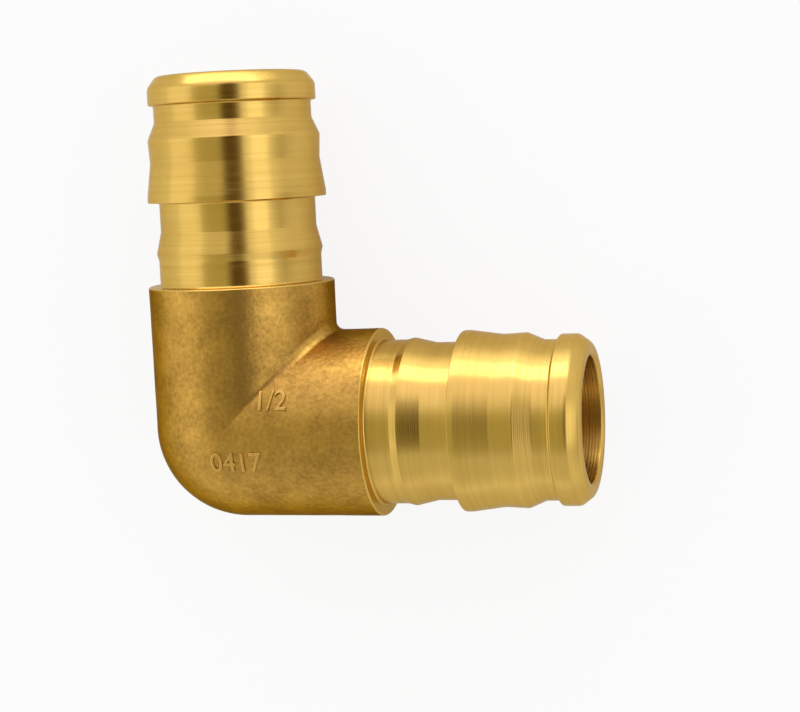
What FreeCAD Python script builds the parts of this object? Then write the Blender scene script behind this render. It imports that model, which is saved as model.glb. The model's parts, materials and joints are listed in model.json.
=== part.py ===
import FreeCAD, Part

import enum
import math
import os

import Sketcher

# A 90 degree elbow for cold-expanded PEX tube, hot-forged in one piece of brass
# and then machined. Both arms are alike: a round forged boss that ends in a flat
# stop shoulder, and a turned insert with ribs and one sharp barb, over which the
# expanded tube shrinks. Each arm is drilled from its mouth to past the crossing.
#
# Frame: the origin is where the axes of the two bores cross. The run arm points
# along +X and the branch arm along +Y. +Z is up, with the elbow lying on its side.

# name, value in mm or degrees, meaning
SIZES = (
    ("arm_angle", 90, "angle between the axes of the two arms"),
    ("boss_dia", 15.4, "outside diameter of the boss and of the round corner"),
    ("shoulder_offset", 11.8, "crossing of the axes to the stop shoulder"),
    ("throat_radius", 0.8, "forged radius inside the corner between the bosses"),
    ("seat_length", 2.1, "plain seat beside the stop shoulder, along the axis"),
    ("seat_dia", 13.4, "diameter of that seat"),
    ("rear_rib_face", 0.6, "rise from the seat to the rear rib, along the axis"),
    ("rear_rib_dia", 13.7, "crest of the rear rib"),
    ("rear_rib_slope", 1.8, "fall from the rear rib to the rear groove"),
    ("rear_groove_length", 2.4, "floor of the groove behind the main barb"),
    ("rear_groove_dia", 12.85, "diameter of that groove"),
    ("barb_dia", 14.7, "crest of the main barb, the widest part of the insert"),
    ("barb_land", 0.5, "narrow flat on top of the main barb"),
    ("barb_slope", 2.7, "gentle side of the main barb"),
    ("neck_dia", 13.95, "dip between the main barb and the front rib"),
    ("front_rib_face", 1.9, "rise from the neck to the front rib"),
    ("front_rib_dia", 14.15, "crest of the front rib"),
    ("front_rib_slope", 1.4, "fall from the front rib to the front groove"),
    ("front_groove_length", 1.4, "floor of the groove behind the lip"),
    ("front_groove_dia", 12.95, "diameter of that groove"),
    ("lip_dia", 13.8, "crest of the lip at the mouth"),
    ("lip_land", 1.4, "flat on top of the lip"),
    ("lead_in_length", 1.0, "cone from the lip to the end face, along the axis"),
    ("mouth_dia", 12.3, "outside diameter of the end face"),
    ("bore_dia", 10.2, "bore of each arm"),
    ("bore_overrun", 2.0, "full bore past the crossing of the axes"),
    ("drill_point_angle", 118, "angle of the drill's point at the end of each bore"),
    ("mouth_bevel", 0.2, "bevel round the mouth of each bore"),
)
VALUE = {name: value for name, value, meaning in SIZES}

# The turned insert, from the stop shoulder outwards. Each step runs one length
# along the axis, or none where its face is square, and ends at one diameter, or
# at the one that it starts from where it is level.
SQUARE = None
LEVEL = None
INSERT_STEPS = (
    (SQUARE, "seat_dia"),
    ("seat_length", LEVEL),
    ("rear_rib_face", "rear_rib_dia"),
    ("rear_rib_slope", "rear_groove_dia"),
    ("rear_groove_length", LEVEL),
    (SQUARE, "barb_dia"),
    ("barb_land", LEVEL),
    ("barb_slope", "neck_dia"),
    ("front_rib_face", "front_rib_dia"),
    ("front_rib_slope", "front_groove_dia"),
    ("front_groove_length", LEVEL),
    (SQUARE, "lip_dia"),
    ("lip_land", LEVEL),
    ("lead_in_length", "mouth_dia"),
)

TOUCHING = 1e-4


class Place(enum.IntEnum):
    """The places of a sketch edge that a constraint can name."""
    START = 1
    END = 2
    CENTRE = 3


class Axis(enum.IntEnum):
    """The sketch's own axes, as a constraint names them."""
    X = -1
    Y = -2


START = Place.START
END = Place.END
ORIGIN = (Axis.X, START)


def make_sheet(doc):
    """The driving dimensions, one row each."""
    sheet = doc.addObject("Spreadsheet::Sheet", "sizes")
    for row, (name, value, meaning) in enumerate(SIZES, start=1):
        sheet.set(f"A{row}", name)
        sheet.set(f"B{row}", str(value))
        sheet.setAlias(f"B{row}", name)
        sheet.set(f"C{row}", meaning)
    doc.recompute()


def origin_plane(body, role):
    """One of the body's own origin planes."""
    for feature in body.Origin.OriginFeatures:
        if feature.Role == role:
            return feature
    raise ValueError(f"no origin plane {role}")


def new_sketch(body, name):
    """A sketch on the body's XY plane, with the run arm's axis as its X axis."""
    sketch = body.newObject("Sketcher::SketchObject", name)
    sketch.AttachmentSupport = (origin_plane(body, "XY_Plane"), "")
    sketch.MapMode = "FlatFace"
    return sketch


def add_line(sketch, start, end):
    """A line between two (x, y) points; returns its index."""
    edge = Part.LineSegment(FreeCAD.Vector(*start, 0), FreeCAD.Vector(*end, 0))
    return sketch.addGeometry(edge, False)


def add_arc(sketch, centre, radius, first_angle, last_angle):
    """An arc given by its centre and its two angles in degrees; returns its index."""
    circle = Part.Circle(FreeCAD.Vector(*centre, 0), FreeCAD.Vector(0, 0, 1), radius)
    angles = (math.radians(first_angle), math.radians(last_angle))
    return sketch.addGeometry(Part.ArcOfCircle(circle, *angles), False)


def constrain(sketch, kind, *places):
    """A geometric constraint between places of the sketch."""
    return sketch.addConstraint(Sketcher.Constraint(kind, *places))


def dimension(sketch, kind, name, places, value, expression):
    """A named dimension that follows an expression over the sheet."""
    index = sketch.addConstraint(Sketcher.Constraint(kind, *places, value))
    sketch.renameConstraint(index, name)
    sketch.setExpression(f"Constraints.{name}", expression)


def revolve(body, kind, name, sketch):
    """The sketch turned once round its X axis, as material added or taken away."""
    feature = body.newObject(kind, name)
    feature.Profile = sketch
    feature.ReferenceAxis = (sketch, ["H_Axis"])
    return feature


def mirror_across(body, name, plane, originals):
    """The same features on the other arm."""
    mirrored = body.newObject("PartDesign::Mirrored", name)
    mirrored.Originals = originals
    mirrored.MirrorPlane = (plane, [""])
    body.Tip = mirrored
    return mirrored


def draw_boss(body):
    """Half outline of a boss: round end at the crossing, straight to the shoulder."""
    radius = VALUE["boss_dia"] / 2
    shoulder = VALUE["shoulder_offset"]
    sketch = new_sketch(body, "boss_outline")
    dome = add_arc(sketch, (0, 0), radius, 90, 180)
    side = add_line(sketch, (0, radius), (shoulder, radius))
    face = add_line(sketch, (shoulder, radius), (shoulder, 0))
    axis = add_line(sketch, (shoulder, 0), (-radius, 0))
    constrain(sketch, "Coincident", dome, Place.CENTRE, *ORIGIN)
    constrain(sketch, "PointOnObject", dome, START, Axis.Y)
    constrain(sketch, "Coincident", dome, START, side, START)
    constrain(sketch, "Coincident", side, END, face, START)
    constrain(sketch, "Coincident", face, END, axis, START)
    constrain(sketch, "Coincident", axis, END, dome, END)
    constrain(sketch, "Horizontal", side)
    constrain(sketch, "Vertical", face)
    constrain(sketch, "PointOnObject", axis, START, Axis.X)
    constrain(sketch, "PointOnObject", axis, END, Axis.X)
    dimension(sketch, "Radius", "boss_radius", (dome,), radius, "sizes.boss_dia / 2")
    dimension(sketch, "DistanceX", "shoulder_offset", (*ORIGIN, face, END), shoulder,
              "sizes.shoulder_offset")
    return sketch


def draw_insert(body):
    """Half outline of the turned insert, step by step from the shoulder to the mouth."""
    shoulder = VALUE["shoulder_offset"]
    x, y = shoulder, 0
    sketch = new_sketch(body, "insert_outline")
    steps = []
    for length, diameter in INSERT_STEPS:
        end_x = x if length is SQUARE else x + VALUE[length]
        end_y = y if diameter is LEVEL else VALUE[diameter] / 2
        step = add_line(sketch, (x, y), (end_x, end_y))
        if steps:
            constrain(sketch, "Coincident", steps[-1], END, step, START)
        if length is SQUARE:
            constrain(sketch, "Vertical", step)
        else:
            dimension(sketch, "DistanceX", length, (step, START, step, END), VALUE[length],
                      f"sizes.{length}")
        if diameter is LEVEL:
            constrain(sketch, "Horizontal", step)
        else:
            dimension(sketch, "DistanceY", f"half_{diameter}", (*ORIGIN, step, END), end_y,
                      f"sizes.{diameter} / 2")
        x, y = end_x, end_y
        steps.append(step)

    face = add_line(sketch, (x, y), (x, 0))
    axis = add_line(sketch, (x, 0), (shoulder, 0))
    constrain(sketch, "Coincident", steps[-1], END, face, START)
    constrain(sketch, "Coincident", face, END, axis, START)
    constrain(sketch, "Coincident", axis, END, steps[0], START)
    constrain(sketch, "Vertical", face)
    constrain(sketch, "PointOnObject", axis, START, Axis.X)
    constrain(sketch, "PointOnObject", axis, END, Axis.X)
    dimension(sketch, "DistanceX", "shoulder_offset", (*ORIGIN, axis, END), shoulder,
              "sizes.shoulder_offset")

    # The mouth lies where the steps end, so its distance is read and not set.
    mouth = Sketcher.Constraint("DistanceX", *ORIGIN, face, END, x)
    index = sketch.addConstraint(mouth)
    sketch.renameConstraint(index, "mouth_offset")
    sketch.setDriving(index, False)
    return sketch


def draw_bore(body, mouth):
    """Half outline of one drilled bore: mouth bevel, full bore, drill point."""
    radius = VALUE["bore_dia"] / 2
    bevel = VALUE["mouth_bevel"]
    overrun = VALUE["bore_overrun"]
    point_angle = math.radians(VALUE["drill_point_angle"] / 2)
    apex = -overrun - radius / math.tan(point_angle)
    sketch = new_sketch(body, "bore_outline")
    axis = add_line(sketch, (apex, 0), (mouth, 0))
    face = add_line(sketch, (mouth, 0), (mouth, radius + bevel))
    edge = add_line(sketch, (mouth, radius + bevel), (mouth - bevel, radius))
    side = add_line(sketch, (mouth - bevel, radius), (-overrun, radius))
    cone = add_line(sketch, (apex, 0), (-overrun, radius))
    for first, second in ((axis, face), (face, edge), (edge, side)):
        constrain(sketch, "Coincident", first, END, second, START)
    constrain(sketch, "Coincident", side, END, cone, END)
    constrain(sketch, "Coincident", cone, START, axis, START)
    constrain(sketch, "PointOnObject", axis, START, Axis.X)
    constrain(sketch, "PointOnObject", axis, END, Axis.X)
    constrain(sketch, "Vertical", face)
    constrain(sketch, "Horizontal", side)
    dimension(sketch, "DistanceX", "mouth_offset", (*ORIGIN, face, START), mouth,
              "insert_outline.Constraints.mouth_offset")
    dimension(sketch, "DistanceX", "bevel_width", (edge, END, edge, START), bevel,
              "sizes.mouth_bevel")
    dimension(sketch, "DistanceY", "bevel_depth", (edge, END, edge, START), bevel,
              "sizes.mouth_bevel")
    dimension(sketch, "DistanceY", "bore_radius", (*ORIGIN, side, END), radius,
              "sizes.bore_dia / 2")
    dimension(sketch, "DistanceX", "bore_overrun", (side, END, *ORIGIN), overrun,
              "sizes.bore_overrun")
    dimension(sketch, "Angle", "point_half_angle", (axis, START, cone, START),
              point_angle, "sizes.drill_point_angle / 2 * 1 deg")
    return sketch


def make_mitre_plane(body):
    """The plane through Z, halfway between the arms, across which they are alike."""
    plane = body.newObject("PartDesign::Plane", "mitre_plane")
    plane.AttachmentSupport = (origin_plane(body, "XZ_Plane"), "")
    plane.MapMode = "FlatFace"
    half_angle = FreeCAD.Rotation(FreeCAD.Vector(0, 1, 0), VALUE["arm_angle"] / 2)
    plane.AttachmentOffset = FreeCAD.Placement(FreeCAD.Vector(), half_angle)
    plane.setExpression("AttachmentOffset.Rotation.Angle", "sizes.arm_angle / 2 * 1 deg")
    return plane


def throat_edges(shape):
    """Names of the edges where the bosses meet inside the corner."""
    half_angle = math.radians(VALUE["arm_angle"] / 2)
    inward = FreeCAD.Vector(math.cos(half_angle), math.sin(half_angle), 0)
    across = FreeCAD.Vector(-math.sin(half_angle), math.cos(half_angle), 0)
    names = []
    for number, edge in enumerate(shape.Edges, start=1):
        middle = edge.valueAt((edge.FirstParameter + edge.LastParameter) / 2)
        if abs(middle.dot(across)) < TOUCHING < middle.dot(inward):
            names.append(f"Edge{number}")
    return names


def make_elbow(doc):
    """The whole fitting, as one body."""
    body = doc.addObject("PartDesign::Body", "elbow")
    body.Label = "elbow"
    body.Placement = FreeCAD.Placement()
    plane = make_mitre_plane(body)

    boss = revolve(body, "PartDesign::Revolution", "boss", draw_boss(body))
    insert_outline = draw_insert(body)
    insert = revolve(body, "PartDesign::Revolution", "insert", insert_outline)
    arms = mirror_across(body, "branch_arm", plane, [boss, insert])
    doc.recompute()

    throat = body.newObject("PartDesign::Fillet", "throat")
    throat.Base = (arms, throat_edges(arms.Shape))
    throat.Radius = VALUE["throat_radius"]
    throat.setExpression("Radius", "sizes.throat_radius")
    doc.recompute()
    solid_volume = throat.Shape.Volume

    mouth = insert_outline.getDatum("mouth_offset").Value
    bore = revolve(body, "PartDesign::Groove", "bore", draw_bore(body, mouth))
    mirror_across(body, "branch_bore", plane, [bore])
    doc.recompute()
    if body.Shape.Volume >= solid_volume:
        raise RuntimeError("the bores cut nothing")
    return body


def check(doc, bodies):
    """Stops before anything is written if a feature or a shape has failed."""
    for item in doc.Objects:
        if "Invalid" in item.State or "Error" in item.State:
            raise RuntimeError(f"{item.Name} failed: {item.State}")
    for body in bodies:
        if body.Shape.isNull() or not body.Shape.isValid():
            raise RuntimeError(f"{body.Label} has no valid shape")
        if len(body.Shape.Solids) != 1:
            raise RuntimeError(f"{body.Label} is not one solid")


def main():
    doc = FreeCAD.newDocument("pex_elbow")
    make_sheet(doc)
    bodies = [make_elbow(doc)]
    doc.recompute()
    check(doc, bodies)
    os.makedirs("parts", exist_ok=True)
    for body in bodies:
        body.Shape.exportStep(f"parts/{body.Label}.step")
        box = body.Shape.BoundBox
        print(f"{body.Label}: {body.Shape.Volume:.1f} mm3,"
              f" {box.XLength:.2f} x {box.YLength:.2f} x {box.ZLength:.2f} mm")


main()
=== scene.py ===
"""A brass elbow for PEX tube: its forged body with turned inserts and drilled bores, and its stage."""

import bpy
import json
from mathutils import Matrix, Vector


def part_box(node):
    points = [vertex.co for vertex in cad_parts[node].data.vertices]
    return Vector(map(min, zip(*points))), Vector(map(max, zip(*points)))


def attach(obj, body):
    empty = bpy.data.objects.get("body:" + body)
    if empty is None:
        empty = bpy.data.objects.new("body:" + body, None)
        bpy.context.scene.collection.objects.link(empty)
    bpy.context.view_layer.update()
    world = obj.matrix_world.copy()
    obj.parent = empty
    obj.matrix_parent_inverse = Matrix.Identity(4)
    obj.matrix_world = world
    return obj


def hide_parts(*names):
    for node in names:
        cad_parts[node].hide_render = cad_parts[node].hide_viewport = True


bl_info = {
    "name": "PEX Elbow",
    "version": (1, 0, 0),
    "blender": (4, 5, 0),
    "location": "3D View > Sidebar > PEX Elbow",
    "description": "Builds a forged brass PEX elbow, its raised numerals and a plain studio round it",
    "category": "Object",
}

import json
import math

import bmesh
import bpy
from bpy.props import FloatProperty, FloatVectorProperty, IntProperty, PointerProperty, StringProperty
from mathutils import Matrix, Vector, noise

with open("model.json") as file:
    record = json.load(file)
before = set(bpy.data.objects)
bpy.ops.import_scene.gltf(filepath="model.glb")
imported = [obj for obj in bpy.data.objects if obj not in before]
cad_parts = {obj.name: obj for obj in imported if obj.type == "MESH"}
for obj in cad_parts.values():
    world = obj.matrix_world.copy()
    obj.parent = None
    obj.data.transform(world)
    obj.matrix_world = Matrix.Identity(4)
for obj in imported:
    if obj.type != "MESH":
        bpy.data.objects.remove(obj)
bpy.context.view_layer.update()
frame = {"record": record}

MM = 0.001
NODE = "elbow"
BODY = "root"

# What the frame says of the fitting, in metres.
LOWEST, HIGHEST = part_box(NODE)
MOUNTS = {mount["name"]: mount for mount in frame["record"]["mounts"]}
BOSS_RADIUS = HIGHEST.z
SHOULDER_OFFSET = MOUNTS["run_shoulder"]["pos_m"][0]
BORE_RADIUS = MOUNTS["run_bore"]["dims"]["r_mm"] * MM
BARB_RADIUS = MOUNTS["run_tube_seat"]["dims"]["r_mm"] * MM
BARB_LAND = MOUNTS["run_tube_seat"]["dims"]["length_mm"] * MM

# The places of the fitting's three surfaces in its list of materials.
FORGED, TURNED, DRILLED = range(3)

# Points nearer to each other than this, in metres, are one point.
WELD = 1e-6

# Swaps the run arm, along X, with the branch arm, along Y.
BRANCH = Matrix(((0, 1, 0), (1, 0, 0), (0, 0, 1)))


def linear(hex_colour):
    """An sRGB hex colour as linear red, green and blue."""
    channels = (int(hex_colour[i:i + 2], 16) / 255 for i in (1, 3, 5))
    return tuple(c / 12.92 if c <= 0.04045 else ((c + 0.055) / 1.055) ** 2.4 for c in channels)


def length(name, millimetres, description):
    """A length property, given in millimetres and kept in metres."""
    return FloatProperty(name=name, description=description, default=millimetres * MM, min=0,
                         unit="LENGTH", precision=5)


def spot(name, x, y, description):
    """A spot seen from above, given in millimetres along the run and branch arms."""
    return FloatVectorProperty(name=name, description=description, default=(x * MM, y * MM), size=2,
                               unit="LENGTH", precision=5)


def share(name, default, description):
    """A property from 0 to 1."""
    return FloatProperty(name=name, description=description, default=default, min=0, max=1,
                         subtype="FACTOR")


def colour(name, hex_colour, description):
    """A colour property, given as sRGB hex."""
    return FloatVectorProperty(name=name, description=description, default=linear(hex_colour),
                               min=0, max=1, size=3, subtype="COLOR")


class InsertSizes(bpy.types.PropertyGroup):
    """The turned insert, from the stop shoulder outwards, and the bore that runs through it."""
    seat_length: length("Seat length", 2.1, "Plain seat beside the shoulder")
    seat_radius: length("Seat radius", 6.7, "Radius of that seat")
    rear_rib_face: length("Rear rib face", 0.6, "Rise from the seat to the rear rib")
    rear_rib_radius: length("Rear rib radius", 6.85, "Crest of the rear rib")
    rear_rib_slope: length("Rear rib slope", 1.8, "Fall from the rear rib to its groove")
    rear_groove_length: length("Rear groove length", 2.4, "Groove behind the main barb")
    rear_groove_radius: length("Rear groove radius", 6.425, "Floor of that groove")
    barb_slope: length("Barb slope", 2.7, "Gentle side of the main barb")
    neck_radius: length("Neck radius", 6.975, "Dip between the main barb and the front rib")
    front_rib_face: length("Front rib face", 1.9, "Rise from the neck to the front rib")
    front_rib_radius: length("Front rib radius", 7.075, "Crest of the front rib")
    front_rib_slope: length("Front rib slope", 1.4, "Fall from the front rib to its groove")
    front_groove_length: length("Front groove length", 1.4, "Groove behind the lip")
    front_groove_radius: length("Front groove radius", 6.475, "Floor of that groove")
    lip_radius: length("Lip radius", 6.9, "Crest of the lip")
    lip_land: length("Lip land", 1.4, "Flat on top of the lip")
    lead_in_length: length("Lead-in length", 1.0, "Cone from the lip to the end face")
    mouth_radius: length("Mouth radius", 6.15, "Outside radius of the end face")
    mouth_bevel: length("Mouth bevel", 0.2, "Bevel round the mouth of the bore")
    crest_round: length("Crest round", 0.06, "Edge left on the barb by the turning tool")
    edge_round: length("Edge round", 0.15, "Broken edges of ribs and shoulder")
    tip_round: length("Tip round", 0.7, "Rounding of the lead-in at both its ends")
    nose_round: length("Tool nose", 0.2, "Radius that the tool's nose leaves in the grooves")


class BodySizes(bpy.types.PropertyGroup):
    """The forged body round the crossing of the two bores."""
    throat_radius: length("Throat radius", 0.8, "Rounding of the inside corner")
    trim_depth: length("Trim depth", 0.05, "How far the trimmed flash leaves the parting line flat")
    waviness: length("Waviness", 0.03, "Deepest hollow that the forging leaves in the skin")
    wave_size: length("Wave size", 2.6, "Width of those hollows")
    drill_overrun: length("Drill overrun", 2.0, "Full bore past the crossing of the axes")
    drill_point: FloatProperty(name="Drill point", description="Angle of the drill's point",
                               default=math.radians(118), subtype="ANGLE", unit="ROTATION")
    turn_steps: IntProperty(name="Turn steps", description="Facets round each arm, a multiple of 4",
                            default=160, min=16)


class MarkSizes(bpy.types.PropertyGroup):
    """Numerals raised on both sides of the corner's crown: the nominal size and a lot number."""
    height: length("Height", 1.6, "Height of the numerals")
    relief: length("Relief", 0.12, "How far they stand out of the skin")
    root: length("Root", 0.12, "How far they reach down into the skin")
    size_text: StringProperty(name="Size", description="Nominal size in inches", default="1/2")
    size_spot: spot("Size spot", 4.4, 2.7, "Middle of the nominal size")
    lot_text: StringProperty(name="Lot", description="Lot number", default="0417")
    lot_spot: spot("Lot spot", 1.3, -2.2, "Middle of the lot number")


class BrassLook(bpy.types.PropertyGroup):
    """Colours and roughness of the three brass surfaces."""
    forged_light: colour("Forged, light", "#CC9F4A", "Skin that tumbling has rubbed clean")
    forged_dark: colour("Forged, dark", "#9C7736", "Skin that keeps its oxide")
    # Paler colour of the numerals: partly rubbed bare by tumbling, partly a painted highlight on their
    # raised faces.
    rubbed: colour("Rubbed", "#D2AB5C", "Raised numerals that tumbling has rubbed bare")
    forged_roughness: share("Forged roughness", 0.36, "Roughness of the forged skin")
    turned_clean: colour("Turned, clean", "#DAB55E", "Freshly cut brass")
    turned_dull: colour("Turned, dull", "#CDA752", "Cut brass that has begun to tarnish")
    turned_roughness: share("Turned roughness", 0.22, "Roughness of the turned insert")
    cut_grain: share("Cut grain", 0.6, "How much further highlights spread across the tool marks")
    drilled: colour("Drilled", "#D6AC54", "Wall of the drilled bore")
    drilled_roughness: share("Drilled roughness", 0.28, "Roughness of the drilled wall")
    forged_rim: colour("Forged rim", "#A09072", "Tint of the forged skin at a grazing angle")
    cut_rim: colour("Cut rim", "#F0E4C4", "Tint of the cut surfaces at a grazing angle")
    turned_feed: length("Turning feed", 0.2, "Spacing of the tool marks on the insert")
    drilled_feed: length("Drilling feed", 0.25, "Spacing of the tool marks in the bore")


class StageLook(bpy.types.PropertyGroup):
    """Floor, light and camera."""
    acrylic: colour("Acrylic", "#F2F2F2", "White sheet under the fitting")
    acrylic_roughness: share("Acrylic roughness", 0.15, "Roughness of that sheet")
    floor_size: length("Floor size", 3000, "Side of the floor")
    lens: FloatProperty(name="Lens", description="Focal length on a 36 mm wide sensor",
                        default=87.57, unit="CAMERA")


class ElbowSettings(bpy.types.PropertyGroup):
    """Everything that the panel shows."""
    insert: PointerProperty(type=InsertSizes)
    body: PointerProperty(type=BodySizes)
    mark: PointerProperty(type=MarkSizes)
    brass: PointerProperty(type=BrassLook)
    stage: PointerProperty(type=StageLook)


# Outlines: pairs of station along the arm and radius from its axis.

# The widest facet of an arc, and the most of a straight that one arc takes up.
ARC_STEP = math.radians(12)
LONGEST_SHARE = 0.48

# An arm's outline starts on the boss, behind the shoulder, and ends at a ring inside the bore.
SHOULDER_MARGIN = 2 * MM
BOSS_RING = SHOULDER_OFFSET - SHOULDER_MARGIN
BORE_RING = 9 * MM


def rounded(corners):
    """The outline with each corner (station, radius, rounding) turned into an arc."""
    points = [Vector(corners[0][:2])]
    for before, corner, after in zip(corners, corners[1:], corners[2:]):
        here = Vector(corner[:2])
        back = Vector(before[:2]) - here
        ahead = Vector(after[:2]) - here
        turn = math.pi - back.angle(ahead)
        reach = min(corner[2] * math.tan(turn / 2),
                    LONGEST_SHARE * back.length, LONGEST_SHARE * ahead.length)
        radius = reach / math.tan(turn / 2)
        inward = (back.normalized() + ahead.normalized()).normalized()
        centre = here + inward * radius / math.cos(turn / 2)
        spoke = here + back.normalized() * reach - centre
        side = 1 if back.x * ahead.y - back.y * ahead.x < 0 else -1
        steps = max(2, math.ceil(turn / ARC_STEP))
        for step in range(steps + 1):
            points.append(centre + Matrix.Rotation(side * turn * step / steps, 2) @ spoke)
    points.append(Vector(corners[-1][:2]))
    return points


def insert_corners(sizes):
    """Corners of one arm's outline, from the boss over the insert and back into the bore.

    Each step goes on along the arm by its first length, to a radius, with a rounding.
    """
    steps = (
        (0, BOSS_RADIUS, sizes.edge_round),
        (0, sizes.seat_radius, sizes.nose_round),
        (sizes.seat_length, sizes.seat_radius, sizes.edge_round),
        (sizes.rear_rib_face, sizes.rear_rib_radius, sizes.edge_round),
        (sizes.rear_rib_slope, sizes.rear_groove_radius, sizes.nose_round),
        (sizes.rear_groove_length, sizes.rear_groove_radius, sizes.nose_round),
        (0, BARB_RADIUS, sizes.crest_round),
        (BARB_LAND, BARB_RADIUS, sizes.edge_round),
        (sizes.barb_slope, sizes.neck_radius, sizes.edge_round),
        (sizes.front_rib_face, sizes.front_rib_radius, sizes.edge_round),
        (sizes.front_rib_slope, sizes.front_groove_radius, sizes.nose_round),
        (sizes.front_groove_length, sizes.front_groove_radius, sizes.nose_round),
        (0, sizes.lip_radius, sizes.edge_round),
        (sizes.lip_land, sizes.lip_radius, sizes.tip_round),
        (sizes.lead_in_length, sizes.mouth_radius, sizes.tip_round),
        (0, BORE_RADIUS + sizes.mouth_bevel, sizes.crest_round),
        (-sizes.mouth_bevel, BORE_RADIUS, sizes.crest_round),
    )
    corners = [(BOSS_RING, BOSS_RADIUS, 0)]
    station = SHOULDER_OFFSET
    for along, radius, rounding in steps:
        station += along
        corners.append((station, radius, rounding))
    corners.append((BORE_RING, BORE_RADIUS, 0))
    return corners


def outline_zone(point, bevel_end):
    """Which surface the strip beyond an outline point belongs to."""
    if point.y >= BOSS_RADIUS - WELD:
        return FORGED
    if point.y <= BORE_RADIUS + WELD and point.x <= bevel_end + WELD:
        return DRILLED
    return TURNED


# The skin: lines from the mitre plane outwards, each in a plane through the arm's axis.

# Faces along a line: over the outside corner, over the inside corner and along the boss.
CORNER_STEPS = 20
THROAT_STEPS = 8
BOSS_STEPS = 22


def on_arm(station, radius, angle):
    """A point of the run arm, turned by an angle from the side that faces the branch arm."""
    return Vector((station, radius * math.cos(angle), radius * math.sin(angle)))


def throat_start(angle, throat):
    """Points from the mitre plane over the rolled inside corner to the boss."""
    reach = BOSS_RADIUS + throat
    ball = on_arm(reach * math.cos(angle), reach, angle)
    to_run = -on_arm(0, 1, angle)
    middle = (to_run + BRANCH @ to_run).normalized()
    return [ball + throat * middle.lerp(to_run, step / THROAT_STEPS).normalized()
            for step in range(THROAT_STEPS)], ball.x


def corner_start(angle):
    """Points from the mitre plane over the round outside corner to the boss."""
    dip = math.atan(-math.cos(angle))
    points = []
    for step in range(CORNER_STEPS):
        tilt = dip * (1 - step / CORNER_STEPS)
        points.append(on_arm(-BOSS_RADIUS * math.sin(tilt), BOSS_RADIUS * math.cos(tilt), angle))
    return points, 0.0


def meridian(angle, inside, throat, outline):
    """One line of the skin: corner or throat, boss, insert and bore."""
    start, boss_start = throat_start(angle, throat) if inside else corner_start(angle)
    points = [(point, FORGED) for point in start]
    for step in range(BOSS_STEPS):
        station = boss_start + (BOSS_RING - boss_start) * step / BOSS_STEPS
        points.append((on_arm(station, BOSS_RADIUS, angle), FORGED))
    points += [(on_arm(point.x, point.y, angle), zone) for point, zone in outline]
    return points


def add_sheet(mesh, lines, mirrored):
    """A sheet of faces between neighbouring lines, on the run arm or swapped to the branch."""
    rows = []
    for line in lines:
        rows.append([mesh.verts.new(BRANCH @ point if mirrored else point) for point, zone in line])
    for row, other in zip(range(len(rows)), range(1, len(rows))):
        for step in range(len(lines[0]) - 1):
            ring = [rows[row][step], rows[row][step + 1], rows[other][step + 1], rows[other][step]]
            face = mesh.faces.new(ring if mirrored else ring[::-1])
            face.material_index = lines[row][step][1]


def add_skin(mesh, settings):
    """Both arms from the mitre plane over the inserts into the bores."""
    corners = insert_corners(settings.insert)
    bevel_end = corners[-2][0]
    outline = [(point, outline_zone(point, bevel_end)) for point in rounded(corners)]
    quarter = settings.body.turn_steps // 4
    for inside, first in ((True, -quarter), (False, quarter)):
        angles = [(first + step) * math.tau / (4 * quarter) for step in range(2 * quarter + 1)]
        lines = [meridian(angle, inside, settings.body.throat_radius, outline) for angle in angles]
        for mirrored in (False, True):
            add_sheet(mesh, lines, mirrored)


def drill_object(name, body, mirrored):
    """The space that one drill leaves, from a ring inside its arm to the tip of its point."""
    steps = body.turn_steps
    apex = -body.drill_overrun - BORE_RADIUS / math.tan(body.drill_point / 2)
    mesh = bmesh.new()
    rings = []
    for station in (BORE_RING, -body.drill_overrun):
        rings.append([mesh.verts.new(on_arm(station, BORE_RADIUS, math.tau * step / steps))
                      for step in range(steps)])
    tip = mesh.verts.new(Vector((apex, 0, 0)))
    mesh.faces.new(rings[0])
    for step in range(steps):
        after = (step + 1) % steps
        mesh.faces.new((rings[0][after], rings[0][step], rings[1][step], rings[1][after]))
        mesh.faces.new((rings[1][after], rings[1][step], tip))
    if mirrored:
        bmesh.ops.transform(mesh, matrix=BRANCH.to_4x4(), verts=mesh.verts)
    bmesh.ops.recalc_face_normals(mesh, faces=mesh.faces)
    return mesh_object(name, mesh)


def mesh_object(name, mesh):
    """A new object in the scene that holds the built mesh."""
    data = bpy.data.meshes.new(name)
    mesh.to_mesh(data)
    mesh.free()
    piece = bpy.data.objects.new(name, data)
    bpy.context.scene.collection.objects.link(piece)
    return piece


def add_drilled_corner(mesh, body):
    """The inside of the corner, where the two drilled bores run into each other."""
    run = drill_object("run_drill", body, False)
    branch = drill_object("branch_drill", body, True)
    union = run.modifiers.new("crossing", "BOOLEAN")
    union.operation = "UNION"
    union.solver = "EXACT"
    union.object = branch
    graph = bpy.context.evaluated_depsgraph_get()
    crossing = bpy.data.meshes.new_from_object(run.evaluated_get(graph))
    space = bmesh.new()
    space.from_mesh(crossing)
    lids = [face for face in space.faces
            if min(max(abs(vert.co.x - BORE_RING) for vert in face.verts),
                   max(abs(vert.co.y - BORE_RING) for vert in face.verts)) < WELD]
    bmesh.ops.delete(space, geom=lids, context="FACES")
    bmesh.ops.reverse_faces(space, faces=space.faces)
    for face in space.faces:
        face.material_index = DRILLED
    space.to_mesh(crossing)
    space.free()
    mesh.from_mesh(crossing)
    bpy.data.meshes.remove(crossing)
    for cutter in (run, branch):
        bpy.data.meshes.remove(cutter.data)


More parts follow.
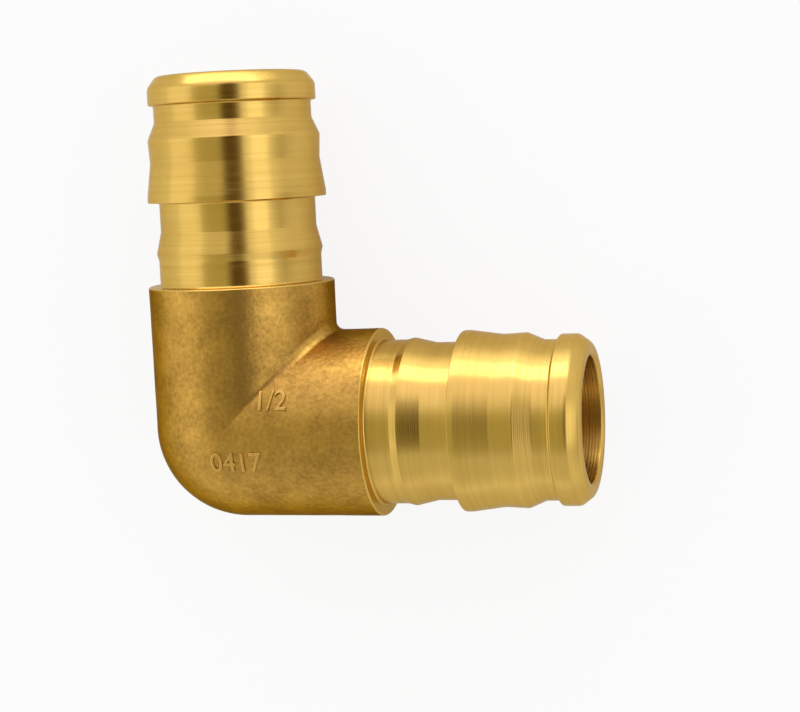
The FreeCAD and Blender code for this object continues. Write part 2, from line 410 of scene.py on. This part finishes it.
def trimmed(place, body):
    """A place seen from above, held back to the band where the flash was trimmed."""
    limit = BOSS_RADIUS - body.trim_depth
    throat = Vector((1, 1)) * (BOSS_RADIUS + body.throat_radius)
    if max(place) < 0:
        return place.normalized() * min(place.length, limit)
    if min(place) > 0 and max(place) < throat.x:
        inwards = place - throat
        return throat + inwards.normalized() * max(inwards.length, throat.x - limit)
    if place.y < 0 or place.x > place.y:
        return Vector((place.x, max(-limit, min(limit, place.y))))
    return Vector((max(-limit, min(limit, place.x)), place.y))


def shape_forging(mesh, body):
    """The marks of forging: shallow hollows, and a flat where the flash was trimmed."""
    mesh.normal_update()
    forged = {vert for face in mesh.faces if face.material_index == FORGED for vert in face.verts}
    cut = {vert for face in mesh.faces if face.material_index != FORGED for vert in face.verts}
    moves = {}
    for vert in forged - cut:
        hollow = 0.5 + 0.5 * noise.noise(vert.co / body.wave_size)
        room = min(1, (SHOULDER_OFFSET - max(vert.co.x, vert.co.y)) / SHOULDER_MARGIN)
        moves[vert] = -vert.normal * body.waviness * hollow * room
    for vert, move in moves.items():
        vert.co += move
    for vert in forged - cut:
        vert.co = (*trimmed(vert.co.xy, body), vert.co.z)


# The numerals' softened edge, and the widest face that is bent over the skin.
MARK_BEVEL = 0.05 * MM
MARK_CUT = 0.3 * MM

# The height of a numeral as a share of the font's size.
NUMERAL_SHARE = 0.73


def flat_mark(text, height, thickness):
    """Numerals as a flat mesh with softened edges."""
    letters = bpy.data.curves.new("numerals", "FONT")
    letters.body = text
    letters.align_x = "CENTER"
    letters.align_y = "CENTER"
    letters.size = height / NUMERAL_SHARE
    letters.extrude = thickness / 2 - MARK_BEVEL
    letters.bevel_depth = MARK_BEVEL
    letters.bevel_resolution = 2
    letters.offset = -MARK_BEVEL / 2
    letters.resolution_u = 6
    holder = bpy.data.objects.new("numerals", letters)
    bpy.context.scene.collection.objects.link(holder)
    graph = bpy.context.evaluated_depsgraph_get()
    flat = bpy.data.meshes.new_from_object(holder.evaluated_get(graph))
    mesh = bmesh.new()
    mesh.from_mesh(flat)
    bpy.data.meshes.remove(flat)
    bpy.data.curves.remove(letters)
    bmesh.ops.remove_doubles(mesh, verts=mesh.verts, dist=WELD)
    return mesh


def nearest_axis_skin(x, y):
    """The top of the skin over a place near the corner, and the way that it faces there."""
    spokes = [Vector((x, y, 0))]
    if x > 0:
        spokes.append(Vector((0, y, 0)))
    if y > 0:
        spokes.append(Vector((x, 0, 0)))
    spoke = min(spokes, key=lambda way: way.length)
    height = math.sqrt(BOSS_RADIUS ** 2 - spoke.length_squared)
    return Vector((x, y, height)), Vector((spoke.x, spoke.y, height)).normalized()


def cut_across(mesh, way):
    """Edges across a flat mesh, close enough for it to be bent along that way."""
    along = [vert.co.dot(way) for vert in mesh.verts]
    for cut in range(math.ceil(min(along) / MARK_CUT), math.ceil(max(along) / MARK_CUT)):
        parts = [*mesh.verts, *mesh.edges, *mesh.faces]
        bmesh.ops.bisect_plane(mesh, geom=parts, dist=WELD, plane_co=way * cut * MARK_CUT,
                               plane_no=way)


def add_mark(name, settings, text, middle):
    """One line of numerals, bent over the corner's skin."""
    sizes = settings.mark
    mesh = flat_mark(text, sizes.height, sizes.relief + sizes.root)
    for way in (Vector((1, 0, 0)), Vector((0, 1, 0))):
        cut_across(mesh, way)
    bmesh.ops.remove_doubles(mesh, verts=mesh.verts, dist=WELD)
    for vert in mesh.verts:
        skin, facing = nearest_axis_skin(middle[0] + vert.co.x, middle[1] + vert.co.y)
        vert.co = skin + facing * (vert.co.z + (sizes.relief - sizes.root) / 2)
    mark = mesh_object(name, mesh)
    # The numerals' paler colour is partly wear and partly a painted highlight.
    finish_mesh(mark, [rubbed_and_highlit_forged_brass(settings.brass)])
    seat_on_frame(mark)


# Edges that turn by more than this stay sharp.
SHARP = math.radians(35)


def finish_mesh(piece, materials):
    """Smooth shading up to real edges, and the surfaces that the faces name."""
    piece.data.polygons.foreach_set("use_smooth", [True] * len(piece.data.polygons))
    piece.data.set_sharp_from_angle(angle=SHARP)
    for material in materials:
        piece.data.materials.append(material)


def seat_on_frame(piece):
    """Every piece here is parented to the one body, so that it moves with it."""
    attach(piece, BODY)


# Materials.

def add_node(tree, kind, inputs=None, **settings):
    """One node with its settings; each input is a value or the output that feeds it."""
    node = tree.nodes.new(kind)
    for name, value in settings.items():
        setattr(node, name, value)
    for socket, value in (inputs or {}).items():
        if isinstance(value, bpy.types.NodeSocket):
            tree.links.new(value, node.inputs[socket])
        else:
            node.inputs[socket].default_value = value
    return node


def per(size):
    """The scale of a pattern whose features are that many metres wide."""
    return 1 / size


def rgba(colour_value):
    """A colour with full opacity."""
    return (*colour_value, 1)


def new_brass(name, roughness, rim):
    """A metal with its shader, its node tree and its object coordinates."""
    material = bpy.data.materials.new(name)
    material.use_nodes = True
    tree = material.node_tree
    shader = tree.nodes["Principled BSDF"]
    shader.inputs["Metallic"].default_value = 1
    shader.inputs["Roughness"].default_value = roughness
    shader.inputs["Specular Tint"].default_value = rgba(rim)
    place = add_node(tree, "ShaderNodeTexCoord").outputs["Object"]
    return material, tree, shader, place


# Widths and depths of what forging and tumbling leave in the skin.
CLOUD_WIDTH = 3.2 * MM
SPECKLE_WIDTH = 0.35 * MM
SPECKLE_DEPTH = 0.03 * MM
PIT_WIDTH = 0.3 * MM
PIT_DEPTH = 0.02 * MM

# How much of the mottling is cloud, with the rest speckle.
CLOUD_SHARE = 0.55

# How much rougher the skin is where it keeps its oxide, and how much smoother where it is rubbed.
OXIDE_ROUGHENS = 0.08
RUBBING_SMOOTHS = 0.06


def forged_brass(name, look, light, dark):
    """Hot-forged brass: an even satin skin, mottled by oxide, with fine pits."""
    material, tree, shader, place = new_brass(name, look.forged_roughness, look.forged_rim)
    cloud = add_node(tree, "ShaderNodeTexNoise", {"Vector": place, "Scale": per(CLOUD_WIDTH),
                                                  "Detail": 5, "Roughness": 0.6})
    speckle = add_node(tree, "ShaderNodeTexNoise", {"Vector": place, "Scale": per(SPECKLE_WIDTH),
                                                    "Detail": 3, "Roughness": 0.65})
    amount = add_node(tree, "ShaderNodeMath", {0: cloud.outputs["Fac"], 1: CLOUD_SHARE},
                      operation="MULTIPLY")
    total = add_node(tree, "ShaderNodeMath", {0: speckle.outputs["Fac"], 1: 1 - CLOUD_SHARE,
                                              2: amount.outputs[0]}, operation="MULTIPLY_ADD")
    ramp = add_node(tree, "ShaderNodeMapRange", {"Value": total.outputs[0], "From Min": 0.36,
                                                 "From Max": 0.64})
    tint = add_node(tree, "ShaderNodeMix", {"Factor": ramp.outputs["Result"], "A": rgba(dark),
                                            "B": rgba(light)}, data_type="RGBA")
    satin = add_node(tree, "ShaderNodeMapRange",
                     {"Value": total.outputs[0], "From Min": 0.3, "From Max": 0.7,
                      "To Min": look.forged_roughness + OXIDE_ROUGHENS,
                      "To Max": look.forged_roughness - RUBBING_SMOOTHS})
    pits = add_node(tree, "ShaderNodeTexVoronoi", {"Vector": place, "Scale": per(PIT_WIDTH)},
                    feature="SMOOTH_F1")
    grit = add_node(tree, "ShaderNodeBump", {"Height": pits.outputs["Distance"], "Strength": 0.5,
                                             "Distance": PIT_DEPTH})
    swell = add_node(tree, "ShaderNodeBump", {"Height": speckle.outputs["Fac"], "Strength": 0.6,
                                              "Distance": SPECKLE_DEPTH,
                                              "Normal": grit.outputs["Normal"]})
    tree.links.new(tint.outputs["Result"], shader.inputs["Base Color"])
    tree.links.new(satin.outputs["Result"], shader.inputs["Roughness"])
    tree.links.new(swell.outputs["Normal"], shader.inputs["Normal"])
    return material


def forged_tumbled_brass(look):
    """The forged body, tumbled: satin, with oxide left in faint clouds."""
    return forged_brass("forged_tumbled_brass", look, look.forged_light, look.forged_dark)


def rubbed_and_highlit_forged_brass(look):
    """The raised numerals, paler than the skin round them: partly rubbed by tumbling, partly a painted
    highlight on their raised faces.
    """
    return forged_brass("rubbed_and_highlit_forged_brass", look, look.rubbed, look.forged_light)


# How far a tool mark wanders from its ring, and the width of a stain of tarnish.
DRIFT_WIDTH = 4 * MM
STAIN_WIDTH = 6 * MM

# The streaks over the rings are drawn coarser than real ones, so that they show.
STREAK_WIDTH = 0.5 * MM

# Depths of the tool marks, and how much of that is the even ridge beside the streaks.
TURNED_DEPTH = 0.003 * MM
DRILLED_DEPTH = 0.008 * MM
RIDGE_SHARE = 0.2

# How much smoother the metal is where it is clean, and how much rougher where it is dull.
CLEAN_SMOOTHS = 0.04
DULL_ROUGHENS = 0.06

# The share of a turn from the way of the tool marks to the way that the highlight spreads.
QUARTER_TURN = 0.25


def cut_brass(name, look, clean, dull, roughness, feed, depth):
    """Brass cut on a lathe or with a drill: bright, with fine rings round the arm's axis."""
    material, tree, shader, place = new_brass(name, roughness, look.cut_rim)
    axes = add_node(tree, "ShaderNodeSeparateXYZ", {"Vector": place})
    station = add_node(tree, "ShaderNodeMath", {0: axes.outputs["X"], 1: axes.outputs["Y"]},
                       operation="MAXIMUM")
    beside = add_node(tree, "ShaderNodeMath", {0: axes.outputs["X"], 1: axes.outputs["Y"]},
                      operation="MINIMUM")
    across = add_node(tree, "ShaderNodeCombineXYZ", {"X": beside.outputs[0], "Y": axes.outputs["Z"]})
    radius = add_node(tree, "ShaderNodeVectorMath", {0: across.outputs["Vector"]}, operation="LENGTH")
    travel = add_node(tree, "ShaderNodeMath", {0: station.outputs[0], 1: radius.outputs["Value"]},
                      operation="SUBTRACT")
    drift = add_node(tree, "ShaderNodeTexNoise", {"Vector": place, "Scale": per(DRIFT_WIDTH),
                                                  "Detail": 2})
    phase = add_node(tree, "ShaderNodeMath", {0: travel.outputs[0], 1: math.tau * per(feed),
                                              2: drift.outputs["Fac"]}, operation="MULTIPLY_ADD")
    ridge = add_node(tree, "ShaderNodeMath", {0: phase.outputs[0]}, operation="SINE")
    streaks = add_node(tree, "ShaderNodeTexNoise", {"W": travel.outputs[0], "Scale": per(STREAK_WIDTH),
                                                    "Detail": 4, "Roughness": 0.7},
                       noise_dimensions="1D")
    relief = add_node(tree, "ShaderNodeMath", {0: ridge.outputs[0], 1: RIDGE_SHARE,
                                               2: streaks.outputs["Fac"]}, operation="MULTIPLY_ADD")
    marks = add_node(tree, "ShaderNodeBump", {"Height": relief.outputs[0], "Strength": 1,
                                              "Distance": depth})
    stain = add_node(tree, "ShaderNodeTexNoise", {"Vector": place, "Scale": per(STAIN_WIDTH),
                                                  "Detail": 3, "Roughness": 0.5})
    mixed = add_node(tree, "ShaderNodeMath", {0: streaks.outputs["Fac"], 1: stain.outputs["Fac"]},
                     operation="ADD")
    tarnish = add_node(tree, "ShaderNodeMapRange", {"Value": mixed.outputs[0], "From Min": 0.75,
                                                    "From Max": 1.3})
    tint = add_node(tree, "ShaderNodeMix", {"Factor": tarnish.outputs["Result"], "A": rgba(clean),
                                            "B": rgba(dull)}, data_type="RGBA")
    satin = add_node(tree, "ShaderNodeMapRange", {"Value": mixed.outputs[0], "From Min": 0.7,
                                                  "From Max": 1.3,
                                                  "To Min": roughness - CLEAN_SMOOTHS,
                                                  "To Max": roughness + DULL_ROUGHENS})
    tree.links.new(tint.outputs["Result"], shader.inputs["Base Color"])
    tree.links.new(satin.outputs["Result"], shader.inputs["Roughness"])
    tree.links.new(marks.outputs["Normal"], shader.inputs["Normal"])
    tree.links.new(grain_way(tree, place, axes), shader.inputs["Tangent"])
    shader.inputs["Anisotropic"].default_value = look.cut_grain
    shader.inputs["Anisotropic Rotation"].default_value = QUARTER_TURN
    return material


def grain_way(tree, place, axes):
    """The way that the tool went: round the X axis on the run arm, round Y on the branch."""
    side = add_node(tree, "ShaderNodeMath", {0: axes.outputs["Y"], 1: axes.outputs["X"]},
                    operation="GREATER_THAN")
    ways = [add_node(tree, "ShaderNodeVectorMath", {0: axis, 1: place}, operation="CROSS_PRODUCT")
            for axis in ((1, 0, 0), (0, 1, 0))]
    way = add_node(tree, "ShaderNodeMix", {"Factor": side.outputs[0], 4: ways[0].outputs["Vector"],
                                           5: ways[1].outputs["Vector"]}, data_type="VECTOR")
    turn = add_node(tree, "ShaderNodeVectorTransform", {"Vector": way.outputs[1]},
                    vector_type="VECTOR", convert_from="OBJECT", convert_to="WORLD")
    return turn.outputs["Vector"]


def turned_brass(look):
    """The insert as the lathe left it: bright, with rings about as far apart as its feed."""
    return cut_brass("turned_brass", look, look.turned_clean, look.turned_dull, look.turned_roughness,
                     look.turned_feed, TURNED_DEPTH)


def drilled_brass(look):
    """The bore as the drill left it: coarser rings, and duller where no cloth reaches."""
    return cut_brass("drilled_brass", look, look.drilled, look.turned_dull, look.drilled_roughness,
                     look.drilled_feed, DRILLED_DEPTH)


# How far the floor is lifted towards white: as the camera sees it, and as metal mirrors it.
SEEN_LIFT = 0.87
MIRRORED_LIFT = 0.1


def satin_acrylic(look):
    """White satin acrylic. The camera and the metal see it lifted towards white, with its shadow."""
    material = bpy.data.materials.new("satin_acrylic")
    material.use_nodes = True
    tree = material.node_tree
    shader = tree.nodes["Principled BSDF"]
    shader.inputs["Base Color"].default_value = rgba(look.acrylic)
    shader.inputs["Roughness"].default_value = look.acrylic_roughness
    path = add_node(tree, "ShaderNodeLightPath")
    seen = add_node(tree, "ShaderNodeMath", {0: path.outputs["Is Camera Ray"],
                                             1: path.outputs["Is Transmission Ray"]},
                    operation="ADD")
    mirrored = add_node(tree, "ShaderNodeMath", {0: path.outputs["Is Glossy Ray"], 1: MIRRORED_LIFT},
                        operation="MULTIPLY")
    lift = add_node(tree, "ShaderNodeMath", {0: seen.outputs[0], 1: SEEN_LIFT, 2: mirrored.outputs[0]},
                    operation="MULTIPLY_ADD", use_clamp=True)
    white = add_node(tree, "ShaderNodeEmission", {"Color": (1, 1, 1, 1), "Strength": 1})
    mix = add_node(tree, "ShaderNodeMixShader", {0: lift.outputs[0], 1: shader.outputs["BSDF"],
                                                 2: white.outputs["Emission"]})
    tree.links.new(mix.outputs["Shader"], tree.nodes["Material Output"].inputs["Surface"])
    return material


# The stage.

# The middle of the fitting, which the lights face.
AIM = Vector((10, 10, 0)) * MM

# The camera, fitted to the fitting's outline in the photograph.
CAMERA_PLACE = Vector((55.28, 21.65, 152.24)) * MM
CAMERA_PITCH = math.radians(-5.88)
CAMERA_YAW = math.radians(15.42)
CAMERA_ROLL = math.radians(-2.77)
SENSOR_WIDTH = 36

TENT_LIGHT = 1

# Where the tent is darker or brighter: the way to the middle, inner and outer edge in degrees, how
# many times longer the zone is along Y, and the share of red, green and blue light in its middle.
TENT_ZONES = (
    (CAMERA_PLACE - AIM, 6, 19, 3, (0.11, 0.06, 0)),
    (Vector((-0.2, -0.14, 1)), 8, 38, 1, (0.56, 0.54, 0.34)),
    (Vector((0, 0.91, 0.41)), 5, 50, 1, (1.45, 1.38, 1.7)),
    (Vector((0.77, 0, 0.64)), 5, 32, 1, (1.2, 1.22, 1.35)),
    (Vector((1, -0.3, -0.1)), 8, 36, 1, (0.6, 0.6, 0.55)),
    (Vector((0, -0.8, 0.6)), 5, 40, 1, (0.72, 0.72, 0.68)),
)

# The soft lights: name, bearing from +X and height above the floor in degrees, distance, width and
# height in metres, and radiance.
SOFTBOXES = (
    ("back_softbox", 92, 12, 0.42, 0.60, 0.17, 1.8),
    ("left_softbox", 180, 34, 0.42, 0.44, 0.30, 0.25),
    ("right_softbox", -2, 38, 0.42, 0.36, 0.18, 0.4),
)


def add_softbox(name, bearing, height, distance, width, tall, radiance):
    """A rectangular soft light that faces the fitting; its power follows from its radiance."""
    lamp = bpy.data.lights.new(name, "AREA")
    lamp.shape = "RECTANGLE"
    lamp.size = width
    lamp.size_y = tall
    lamp.energy = radiance * math.pi * width * tall
    rise, turn = math.radians(height), math.radians(bearing)
    way = Vector((math.cos(rise) * math.cos(turn), math.cos(rise) * math.sin(turn), math.sin(rise)))
    holder = bpy.data.objects.new(name, lamp)
    holder.location = AIM + way * distance
    holder.rotation_euler = way.to_track_quat("Z", "Y").to_euler()
    bpy.context.scene.collection.objects.link(holder)


def add_world():
    """A pale tent, dimmer overhead, in front and at the right, with a dark hood round the camera."""
    world = bpy.data.worlds.new("light_tent")
    world.use_nodes = True
    tree = world.node_tree
    heading = add_node(tree, "ShaderNodeTexCoord").outputs["Generated"]
    light = Vector((1, 1, 1))
    for way, inner, outer, stretch, middle in TENT_ZONES:
        squeeze = Vector((1, 1 / stretch, 1))
        squeezed = add_node(tree, "ShaderNodeVectorMath", {0: heading, 1: squeeze},
                            operation="MULTIPLY")
        around = add_node(tree, "ShaderNodeVectorMath", {0: squeezed.outputs["Vector"]},
                          operation="NORMALIZE")
        nearness = add_node(tree, "ShaderNodeVectorMath",
                            {0: around.outputs["Vector"], 1: (way * squeeze).normalized()},
                            operation="DOT_PRODUCT")
        ramp = add_node(tree, "ShaderNodeMapRange",
                        {"Value": nearness.outputs["Value"], "From Min": math.cos(math.radians(inner)),
                         "From Max": math.cos(math.radians(outer))}, interpolation_type="SMOOTHSTEP")
        zone = add_node(tree, "ShaderNodeMix", {"Factor": ramp.outputs["Result"], "A": rgba(middle),
                                                 "B": rgba((1, 1, 1))}, data_type="RGBA")
        light = add_node(tree, "ShaderNodeVectorMath", {0: light, 1: zone.outputs["Result"]},
                         operation="MULTIPLY").outputs["Vector"]
    background = tree.nodes["Background"]
    background.inputs["Strength"].default_value = TENT_LIGHT
    tree.links.new(light, background.inputs["Color"])
    bpy.context.scene.world = world


def add_floor(look):
    """A flat white sheet that the fitting lies on."""
    mesh = bmesh.new()
    bmesh.ops.create_grid(mesh, x_segments=1, y_segments=1, size=look.floor_size / 2)
    bmesh.ops.translate(mesh, vec=(AIM.x, AIM.y, LOWEST.z), verts=mesh.verts)
    floor = mesh_object("floor", mesh)
    floor.data.materials.append(satin_acrylic(look))


def add_camera(look):
    """The photograph's view: almost straight down, a little from the right."""
    camera = bpy.data.cameras.new("camera")
    camera.sensor_width = SENSOR_WIDTH
    camera.lens = look.lens
    camera.clip_start = MM
    holder = bpy.data.objects.new("camera", camera)
    holder.location = CAMERA_PLACE
    holder.rotation_mode = "ZXY"
    holder.rotation_euler = (CAMERA_PITCH, CAMERA_YAW, CAMERA_ROLL)
    bpy.context.scene.collection.objects.link(holder)
    bpy.context.scene.camera = holder


# Operators and panel.

class PEXELBOW_OT_fitting(bpy.types.Operator):
    """Build the elbow: forged body, turned inserts and drilled bores, in one skin"""
    bl_idname = "pexelbow.fitting"
    bl_label = "Build Fitting"

    def execute(self, context):
        settings = context.scene.pex_elbow
        mesh = bmesh.new()
        add_skin(mesh, settings)
        add_drilled_corner(mesh, settings.body)
        bmesh.ops.remove_doubles(mesh, verts=mesh.verts, dist=WELD)
        shape_forging(mesh, settings.body)
        loose = [edge for edge in mesh.edges if not edge.is_manifold]
        if loose:
            raise RuntimeError(f"the elbow's skin has {len(loose)} open edges")
        fitting = mesh_object("elbow_fitting", mesh)
        finish_mesh(fitting, (forged_tumbled_brass(settings.brass), turned_brass(settings.brass),
                              drilled_brass(settings.brass)))
        seat_on_frame(fitting)
        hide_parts(NODE)
        return {"FINISHED"}


class PEXELBOW_OT_marks(bpy.types.Operator):
    """Raise the nominal size and the lot number on the corner, clear of its crown"""
    bl_idname = "pexelbow.marks"
    bl_label = "Build Marks"

    def execute(self, context):
        settings = context.scene.pex_elbow
        sizes = settings.mark
        add_mark("size_mark", settings, sizes.size_text, sizes.size_spot)
        add_mark("lot_mark", settings, sizes.lot_text, sizes.lot_spot)
        return {"FINISHED"}


class PEXELBOW_OT_stage(bpy.types.Operator):
    """Lay out the floor, the soft lights and the camera"""
    bl_idname = "pexelbow.stage"
    bl_label = "Build Stage"

    def execute(self, context):
        look = context.scene.pex_elbow.stage
        context.scene.view_settings.view_transform = "Standard"
        add_floor(look)
        add_world()
        for softbox in SOFTBOXES:
            add_softbox(*softbox)
        add_camera(look)
        return {"FINISHED"}


class PEXELBOW_PT_panel(bpy.types.Panel):
    """Sizes and looks of the elbow, and the steps that build it"""
    bl_idname = "PEXELBOW_PT_panel"
    bl_label = "PEX Elbow"
    bl_space_type = "VIEW_3D"
    bl_region_type = "UI"
    bl_category = "PEX Elbow"

    def draw(self, context):
        settings = context.scene.pex_elbow
        for title, group in (("Insert", settings.insert), ("Body", settings.body),
                             ("Mark", settings.mark), ("Brass", settings.brass),
                             ("Stage", settings.stage)):
            box = self.layout.box()
            box.label(text=title)
            for name in group.__annotations__:
                box.prop(group, name)
        for step in STEPS:
            self.layout.operator(step.bl_idname)


STEPS = (PEXELBOW_OT_fitting, PEXELBOW_OT_marks, PEXELBOW_OT_stage)
CLASSES = (InsertSizes, BodySizes, MarkSizes, BrassLook, StageLook, ElbowSettings, *STEPS,
           PEXELBOW_PT_panel)


def register():
    for cls in CLASSES:
        bpy.utils.register_class(cls)
    bpy.types.Scene.pex_elbow = PointerProperty(type=ElbowSettings)


def unregister():
    del bpy.types.Scene.pex_elbow
    for cls in reversed(CLASSES):
        bpy.utils.unregister_class(cls)


def main():
    register()
    bpy.ops.pexelbow.fitting()
    bpy.ops.pexelbow.marks()
    bpy.ops.pexelbow.stage()


if __name__ == "__main__":
    main()
